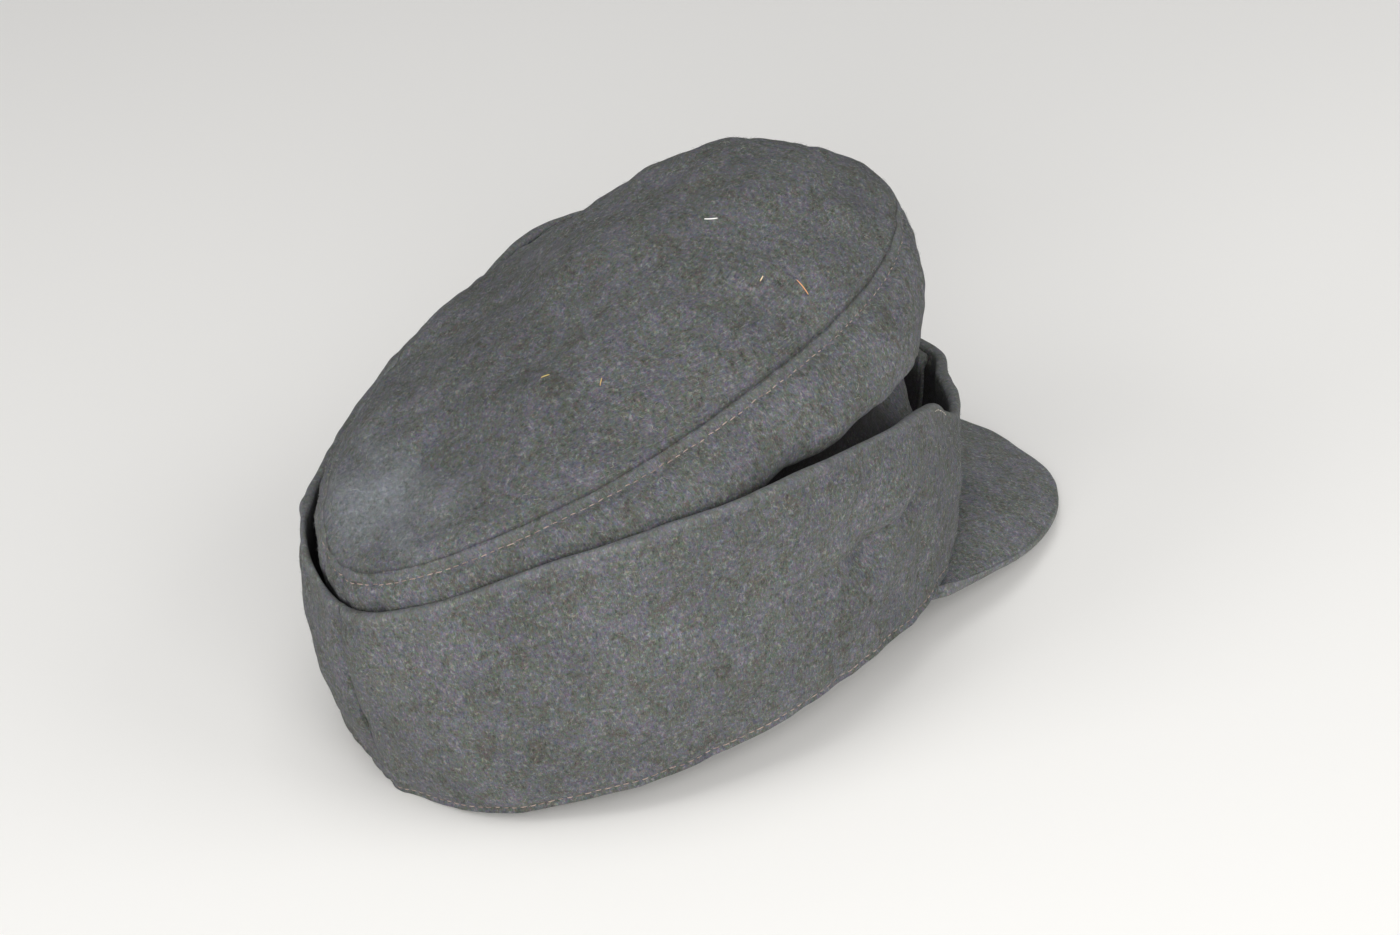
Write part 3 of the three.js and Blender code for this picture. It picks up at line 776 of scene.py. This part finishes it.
# Pressed steel button with baked grey paint: a fine pebbled dome that catches a soft light
def paintedMetal(name):
    material, tree = newMaterial(name)
    where = addNode(tree, "ShaderNodeTexCoord")
    pebbles = addNode(tree, "ShaderNodeTexVoronoi", {"Vector": where.outputs["Object"], "Scale": 1000 / 0.7},
                      feature="SMOOTH_F1")
    wear = addNode(tree, "ShaderNodeTexNoise", {"Vector": where.outputs["Object"], "Scale": 1000 / 2.5,
                   "Detail": 4.0, "Roughness": 0.6})
    colour = addNode(tree, "ShaderNodeValToRGB", {"Fac": wear.outputs["Fac"]},
                     stops=[(0.35, "4c514e"), (0.6, "5b605c"), (0.75, "6c706c")])
    rough = addNode(tree, "ShaderNodeMapRange", {"Value": wear.outputs["Fac"], "To Min": 0.4, "To Max": 0.65})
    bump = addNode(tree, "ShaderNodeBump", {"Height": pebbles.outputs["Distance"], "Strength": 0.5,
                   "Distance": 0.0003}, invert=True)
    shader = addNode(tree, "ShaderNodeBsdfPrincipled", {"Base Color": colour.outputs[0], "Metallic": 0.2,
                     "Roughness": rough.outputs[0], "Normal": bump.outputs["Normal"]})
    addNode(tree, "ShaderNodeOutputMaterial", {"Surface": shader.outputs[0]})
    return material


# A button is a profile turned about its axis: radius and height by share, closed at both poles
def frontButton(name, node, level, paint):
    radius, rim, height = button["radius"], button["rim"], button["height"]
    arc = np.linspace(0, np.pi / 2, 14)
    domeR = (radius - 0.5) * np.cos(arc)
    domeH = rim + (height - rim) * np.sin(arc)
    profileR = np.concatenate([[0.02, radius - 0.5, radius - 0.12, radius, radius - 0.1, radius - 0.35],
                               domeR[1:-1], [0.02]])
    profileH = np.concatenate([[0, 0, 0.15, 0.6, rim - 0.15, rim + 0.02], domeH[1:-1], [height]])
    swing = np.linspace(0, 2 * np.pi, 56, endpoint=False)
    surface = uprightSurface(flapPlan, -1, "flapRight", flapFoldsRight,
                             flap["lapLift"] * (cloth["flap"] + cloth["seamGap"]))
    turn, levelHere = np.array(180.0), np.array(level)
    axis = outwardNormal(surface, turn, levelHere, -1)
    foot = surface(turn, levelHere) + axis * button["clearance"]
    sideways = unit(np.cross(axis, [0, 0, 1.0]))
    upward = np.cross(sideways, axis)
    rings = (sideways * np.cos(swing)[:, None] + upward * np.sin(swing)[:, None])
    points = foot + profileR[:, None, None] * rings + profileH[:, None, None] * axis
    rows, columns = points.shape[:2]
    index = np.arange(rows * columns).reshape(rows, columns)
    quads = np.concatenate([gridQuads(rows, columns, closeColumns=True), poleQuads(index[0]),
                            poleQuads(index[-1, ::-1])])
    piece = addPiece(name, layDown(points), quads, paint)
    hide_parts(node)
    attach(piece, "root")


paint = paintedMetal("bakedGreyPaint")
frontButton("button_upper", "front_button_upper", button["levels"][0], paint)
frontButton("button_lower", "front_button_lower", button["levels"][1], paint)
print("buttons ready")


# Point on a grid at fractional rows and columns, blended from its four neighbours
def sampleGrid(grid, row, column):
    rows, columns = grid.shape[:2]
    row, column = np.clip(row, 0, rows - 1.001), np.clip(column, 0, columns - 1.001)
    lowRow, lowColumn = row.astype(int), column.astype(int)
    a, b = (row - lowRow)[..., None], (column - lowColumn)[..., None]
    return ((1 - a) * (1 - b) * grid[lowRow, lowColumn] + (1 - a) * b * grid[lowRow, lowColumn + 1]
            + a * (1 - b) * grid[lowRow + 1, lowColumn] + a * b * grid[lowRow + 1, lowColumn + 1])


# Unit normals of a grid of points, on the side that facing gives
def gridNormals(grid, facing):
    return unit(np.cross(np.gradient(grid, axis=0), np.gradient(grid, axis=1))) * facing


# Many small tubes as one piece: each path point carries a ring of radius * profile round it
def tubePiece(name, paths, normals, radii, sides, material, marks=None):
    tangent = unit(np.gradient(paths, axis=1))
    sideways = unit(np.cross(tangent, normals))
    upward = np.cross(sideways, tangent)
    swing = np.linspace(0, 2 * np.pi, sides, endpoint=False)[:, None]
    ring = sideways[:, :, None] * np.cos(swing) + upward[:, :, None] * np.sin(swing)
    points = paths[:, :, None] + ring * radii[:, :, None, None]
    count, rows = paths.shape[:2]
    one = gridQuads(rows, sides, closeColumns=True)
    start = poleQuads(np.arange(sides))
    end = start[:, ::-1] + (rows - 1) * sides
    one = np.concatenate([one, start, end])
    quads = (one[None] + (np.arange(count) * rows * sides)[:, None, None]).reshape(-1, 4)
    spread = {mark: np.repeat(values, rows * sides) for mark, values in (marks or {}).items()}
    piece = addPiece(name, layDown(points), quads, material, None, spread)
    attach(piece, "root")


# Spun thread or hair: a soft fibre whose tone differs a little from one to the next
def threadMaterial(name, darkHex, paleHex, sheen):
    material, tree = newMaterial(name)
    tone = addNode(tree, "ShaderNodeAttribute", attribute_name="tone")
    where = addNode(tree, "ShaderNodeTexCoord")
    fleck = addNode(tree, "ShaderNodeTexNoise", {"Vector": where.outputs["Object"], "Scale": 1000 / 0.6,
                    "Detail": 2.0})
    both = addNode(tree, "ShaderNodeMath", {0: tone.outputs["Fac"], 1: fleck.outputs["Fac"]}, operation="ADD")
    colour = addNode(tree, "ShaderNodeValToRGB", {"Fac": both.outputs[0]},
                     stops=[(0.35, darkHex), (1.0, paleHex)])
    shader = addNode(tree, "ShaderNodeBsdfPrincipled", {"Base Color": colour.outputs[0], "Roughness": 0.8,
                     "Specular IOR Level": 0.25, "Sheen Weight": sheen, "Sheen Roughness": 0.4})
    addNode(tree, "ShaderNodeOutputMaterial", {"Surface": shader.outputs[0]})
    return material


# Stitch rows, in mm: thread radius, pitch from stitch to stitch and the part of it that shows
stitch = {"radius": 0.18, "pitch": 2.9, "shown": 2.0, "sunk": 0.07, "arch": 0.15, "frontSunk": 0.16}


# Row and column along a line that keeps its distance in mm from a grid's low or high edge
def lineOnGrid(grid, distance, edge):
    away = grid["place"][edge]
    if edge == "high":
        away = away[::-1]
    row = np.sum(away < distance, axis=0) - 1
    row = np.clip(row, 0, away.shape[0] - 2)
    column = np.arange(away.shape[1])
    near, far = away[row, column], away[row + 1, column]
    fraction = row + (distance - near) / (far - near)
    if edge == "high":
        fraction = away.shape[0] - 1 - fraction
    return fraction, column.astype(float)


# Stitches along a line: centres every pitch with a little chance, each an arched short tube
def stitchRow(name, grid, facing, rowLine, columnLine, material, seed, frontSunk=0.0, part=(0, 1)):
    chance = np.random.default_rng(seed)
    line = sampleGrid(grid["outer"], rowLine, columnLine)
    distance = arcAlong(line[None], 1)[0]
    total = distance[-1]
    centres = np.arange(part[0] * total + 2, part[1] * total - 2, stitch["pitch"])
    centres = centres + chance.normal(0, 0.12, len(centres))
    length = stitch["shown"] * chance.uniform(0.75, 1.12, len(centres))
    share = np.linspace(-0.5, 0.5, 6)
    spots = centres[:, None] + length[:, None] * share
    column = np.interp(spots, distance, columnLine)
    row = np.interp(spots, distance, rowLine)
    normals = gridNormals(grid["outer"], facing)
    across = chance.normal(0, 0.12, (len(centres), 1)) + 0.12 * chance.normal(0, 1, (len(centres), 1)) * share
    normal = sampleGrid(normals, row, column)
    path = sampleGrid(grid["outer"], row + across, column)
    rise = stitch["arch"] * (1 - (2 * share)**4) - stitch["sunk"]
    sink = frontSunk * smoothStep(centres / total, 0.45, 0.68)[:, None, None]
    path = path + normal * (rise[None, :, None] - sink)
    radii = stitch["radius"] * (1 - 0.45 * np.abs(2 * share)**3)[None] * np.ones((len(centres), 1))
    tubePiece(name, path, normal, radii, 6, material, {"tone": chance.uniform(0, 0.5, len(centres))})


linenThread = threadMaterial("linenThread", "6e605a", "a8958b", 0.1)
for sideName, side, wallGrid, flapGrid in (("right", -1, wallRight, flapRightGrid),
                                           ("left", 1, wallLeft, flapLeftGrid)):
    seamLine = lineOnGrid(wallGrid, wall["stitchDown"], "high")
    stitchRow(f"seam_stitches_{sideName}", wallGrid, side, *seamLine, linenThread, 51 + side,
              stitch["frontSunk"])
    lowLine = lineOnGrid(flapGrid, flap["stitchUp"], "low")
    stitchRow(f"rim_stitches_{sideName}", flapGrid, side, *lowLine, linenThread, 61 + side)
# a short row of pale stitches along the flap's top edge, near its right front corner
cornerLine = lineOnGrid(flapRightGrid, 2.4, "high")
paleThread = threadMaterial("paleThread", "8f877c", "c9c0b4", 0.1)
stitchRow("corner_stitches", flapRightGrid, -1, *cornerLine, paleThread, 67, part=(0.69, 0.755))
print("stitches ready")

# Kemp: coarse pale hairs that lie curled on the cloth, and fuzz: short fine ends that stand off it,
# drawn about twice as thick as they are so that they show
hair = {
    "kempPerPiece": 110, "kempLength": (1.2, 3.6), "kempRadius": 0.034,
    "fuzzPerPiece": 1300, "fuzzLength": (0.8, 1.8), "fuzzRadius": 0.032,
}


# Random curved paths over a grid: the direction turns steadily along each, and the mm steps are
# turned into grid steps by the local size of a cell
def hairPaths(grid, facing, count, lengths, points, bend, seed, bare):
    chance = np.random.default_rng(seed)
    outer = grid["outer"]
    rows, columns = outer.shape[:2]
    row = chance.uniform(2 + bare * rows, rows - 3, count)
    column = chance.uniform(2, columns - 3, count)
    length = chance.uniform(*lengths, count)
    heading = chance.uniform(0, 2 * np.pi, count)
    curl = chance.normal(0, bend, count)
    stepRow = np.linalg.norm(np.gradient(outer, axis=0), axis=-1)[..., None]
    stepColumn = np.linalg.norm(np.gradient(outer, axis=1), axis=-1)[..., None]
    sizeRow = np.maximum(sampleGrid(stepRow, row, column)[:, 0], 0.2)
    sizeColumn = np.maximum(sampleGrid(stepColumn, row, column)[:, 0], 0.2)
    share = np.linspace(0, 1, points)
    angle = heading[:, None] + curl[:, None] * share + 0.5 * np.sin(share * 9 + heading[:, None])
    stepMm = length[:, None] / (points - 1)
    alongRow = np.cumsum(np.sin(angle) * stepMm, 1) / sizeRow[:, None]
    alongColumn = np.cumsum(np.cos(angle) * stepMm, 1) / sizeColumn[:, None]
    atRow, atColumn = row[:, None] + alongRow, column[:, None] + alongColumn
    return (sampleGrid(outer, atRow, atColumn), sampleGrid(gridNormals(outer, facing), atRow, atColumn),
            share, chance)


kempHair = threadMaterial("kempHair", "62655f", "a5a497", 0.2)
fuzzHair = threadMaterial("woolFuzz", "565b5e", "8a8d8b", 0.5)
hairyPieces = {
    "name": ["top", "wall_right", "wall_left", "flap_right", "flap_left", "peak"],
    "grid": [topGrid, wallRight, wallLeft, flapRightGrid, flapLeftGrid, peakGrid],
    "facing": [-1, -1, 1, -1, 1, -1], "share": [2.0, 0.5, 0.5, 1.2, 1.2, 0.6],
    "bare": [0, 0.76, 0.76, 0, 0, 0],  # part of the rows with no hair, hidden behind the flap
}
for number, (pieceName, grid, facing, share, bare) in enumerate(zip(*hairyPieces.values())):
    paths, normals, along, chance = hairPaths(grid, facing, int(hair["kempPerPiece"] * share),
                                              hair["kempLength"], 7, 1.6, 81 + number, bare)
    lift = 0.05 + 0.28 * np.abs(np.sin(along[None] * np.pi * chance.uniform(0.5, 2, (len(paths), 1))))
    radii = hair["kempRadius"] * chance.uniform(0.6, 1.5, (len(paths), 1)) * (1 - 0.6 * along[None]**3)
    tone = chance.uniform(0, 1, len(paths))**2 * 0.6
    tubePiece(f"{pieceName}_kemp", paths + normals * lift[..., None], normals, radii, 4, kempHair,
              {"tone": tone})
    paths, normals, along, chance = hairPaths(grid, facing, int(hair["fuzzPerPiece"] * share),
                                              hair["fuzzLength"], 4, 1.2, 91 + number, bare)
    stand = chance.uniform(0.1, 0.9, (len(paths), 1)) * along[None]**1.3
    radii = hair["fuzzRadius"] * (1.2 - 0.9 * along[None]) * np.ones((len(paths), 1))
    tubePiece(f"{pieceName}_fuzz", paths + normals * (stand[..., None] - 0.03), normals, radii, 4, fuzzHair,
              {"tone": chance.uniform(0, 0.5, len(paths))})
print("hair ready")

# Lint caught on the top panel: where each bit lies, which way it points, and its length in mm
lint = {
    "name": ["whiteThread", "strawBit", "paleFleck", "tanBit", "tanFleck", "whiteWisp"],
    "turn": [-136, -116, -112, -65, -41, 137], "q": [0.39, 0.87, 0.74, 0.62, 0.49, 0.8],
    "heading": [135, 102, 200, 215, 150, 140], "length": [4, 5.5, 2, 2.6, 2.6, 3],
    "colour": ["f4f2ee", "cf9a70", "e2c9a4", "c0a06c", "b8a468", "ecebe6"],
}


# A bit of lint is a short bowed tube lying on the cloth
def addLint():
    chance = np.random.default_rng(17)
    normals = gridNormals(topGrid["outer"], -1)
    for name, turn, q, heading, length, colour in zip(*lint.values()):
        centre = domeSurface(np.array(float(turn)), np.array(1 - q))
        spot = np.argmin(np.linalg.norm(topGrid["outer"] - centre, axis=-1))
        row, column = np.unravel_index(spot, topGrid["outer"].shape[:2])
        normal = normals[row, column]
        compass = np.radians(heading)
        ahead = unit(np.cross(normal, [np.cos(compass), np.sin(compass), 0.0]))
        share = np.linspace(-0.5, 0.5, 8)[:, None]
        bow = np.cross(normal, ahead) * (0.25 * length * chance.uniform(-1, 1) * (share**2 - 0.08))
        path = topGrid["outer"][row, column] + ahead * length * share + bow + normal * 0.12
        radii = 0.18 * (1.1 - 1.4 * share[:, 0]**2)
        material = threadMaterial(name, colour, colour, 0.1)
        tubePiece(name, path[None], np.tile(normal, (1, len(share), 1)), radii[None], 6, material,
                  {"tone": np.ones(1)})


addLint()
print("lint ready")

# Camera as one stands beside the cap, behind its right side, with the head tilted a little
view = {"azimuth": 238.1, "elevation": 34.7, "roll": -13.1, "distance": 1176.9, "side": 12.2, "up": 45.2,
        "lens": 95.31}


# The camera's axes as worn: back from azimuth and elevation, right and up turned by the roll
def addCamera():
    azimuth, elevation, roll = (np.radians(view[name]) for name in ("azimuth", "elevation", "roll"))
    flat = np.cos(elevation)
    back = np.array([np.sin(azimuth) * flat, -np.cos(azimuth) * flat, np.sin(elevation)])
    level = np.array([np.cos(azimuth), np.sin(azimuth), 0])
    up = np.cross(back, level)
    right = np.cos(roll) * level + np.sin(roll) * up
    above = -np.sin(roll) * level + np.cos(roll) * up
    eye = view["side"] * right + view["up"] * above + view["distance"] * back
    origin = layDown(np.zeros(3), flatten=False)
    axes = [unit(layDown(axis * 1000, flatten=False) - origin) for axis in (right, above, back)]
    columns = [axis.tolist() for axis in (*axes, layDown(eye, flatten=False))]
    lens = bpy.data.cameras.new("sideCamera")
    lens.lens = view["lens"]
    lens.sensor_width = 36
    lens.clip_start = 0.05
    camera = bpy.data.objects.new("sideCamera", lens)
    bpy.context.scene.collection.objects.link(camera)
    camera.matrix_world = Matrix([*zip(*columns), (0, 0, 0, 1)])
    bpy.context.scene.camera = camera


addCamera()

# Room: pale floor, even pale sky and five broad soft lamps
room = {"floor": "f5f3ef", "halfWidth": 6, "sky": "f2f4f8", "skyStrength": 0.3}
lamps = {
    "name": ["sideLamp", "lowLamp", "topLamp", "frontLamp", "backLamp"],
    "place": [(-1.25, 0.55, 0.75), (-1.0, 1.3, 0.6), (-0.2, 0.1, 2.0), (-1.3, -0.75, 0.95),
              (0.3, 1.6, 1.3)],
    "power": [8.5, 14, 8.5, 8.5, 8],
    "size": [1.0, 1.0, 1.2, 1.2, 1.0],
}


# Flat square floor a hair below z = 0
def addFloor():
    material, tree = newMaterial("paleFloor")
    shader = addNode(tree, "ShaderNodeBsdfPrincipled", {"Base Color": linearColour(room["floor"]),
                     "Roughness": 0.9, "Specular IOR Level": 0.1})
    addNode(tree, "ShaderNodeOutputMaterial", {"Surface": shader.outputs[0]})
    mesh = bpy.data.meshes.new("floor")
    half, below = room["halfWidth"], -0.0001
    mesh.from_pydata([(-half, -half, below), (half, -half, below), (half, half, below), (-half, half, below)],
                     [], [(0, 1, 2, 3)])
    mesh.materials.append(material)
    floor = bpy.data.objects.new("floor", mesh)
    bpy.context.scene.collection.objects.link(floor)


# A square lamp at a place, aimed at the cap's middle
def addLamp(name, place, power, size):
    lamp = bpy.data.lights.new(name, "AREA")
    lamp.energy = power
    lamp.size = size
    holder = bpy.data.objects.new(name, lamp)
    bpy.context.scene.collection.objects.link(holder)
    holder.location = place
    holder.rotation_euler = (Vector((0, 0, 0.08)) - Vector(place)).to_track_quat("-Z", "Y").to_euler()


addFloor()
for lampName, place, power, size in zip(*lamps.values()):
    addLamp(lampName, place, power, size)
world = bpy.data.worlds.new("paleSky")
world.use_nodes = True
sky = world.node_tree.nodes["Background"]
sky.inputs["Color"].default_value = linearColour(room["sky"])
sky.inputs["Strength"].default_value = room["skyStrength"]
bpy.context.scene.world = world
bpy.context.scene.view_settings.view_transform = "Standard"
print("room ready")
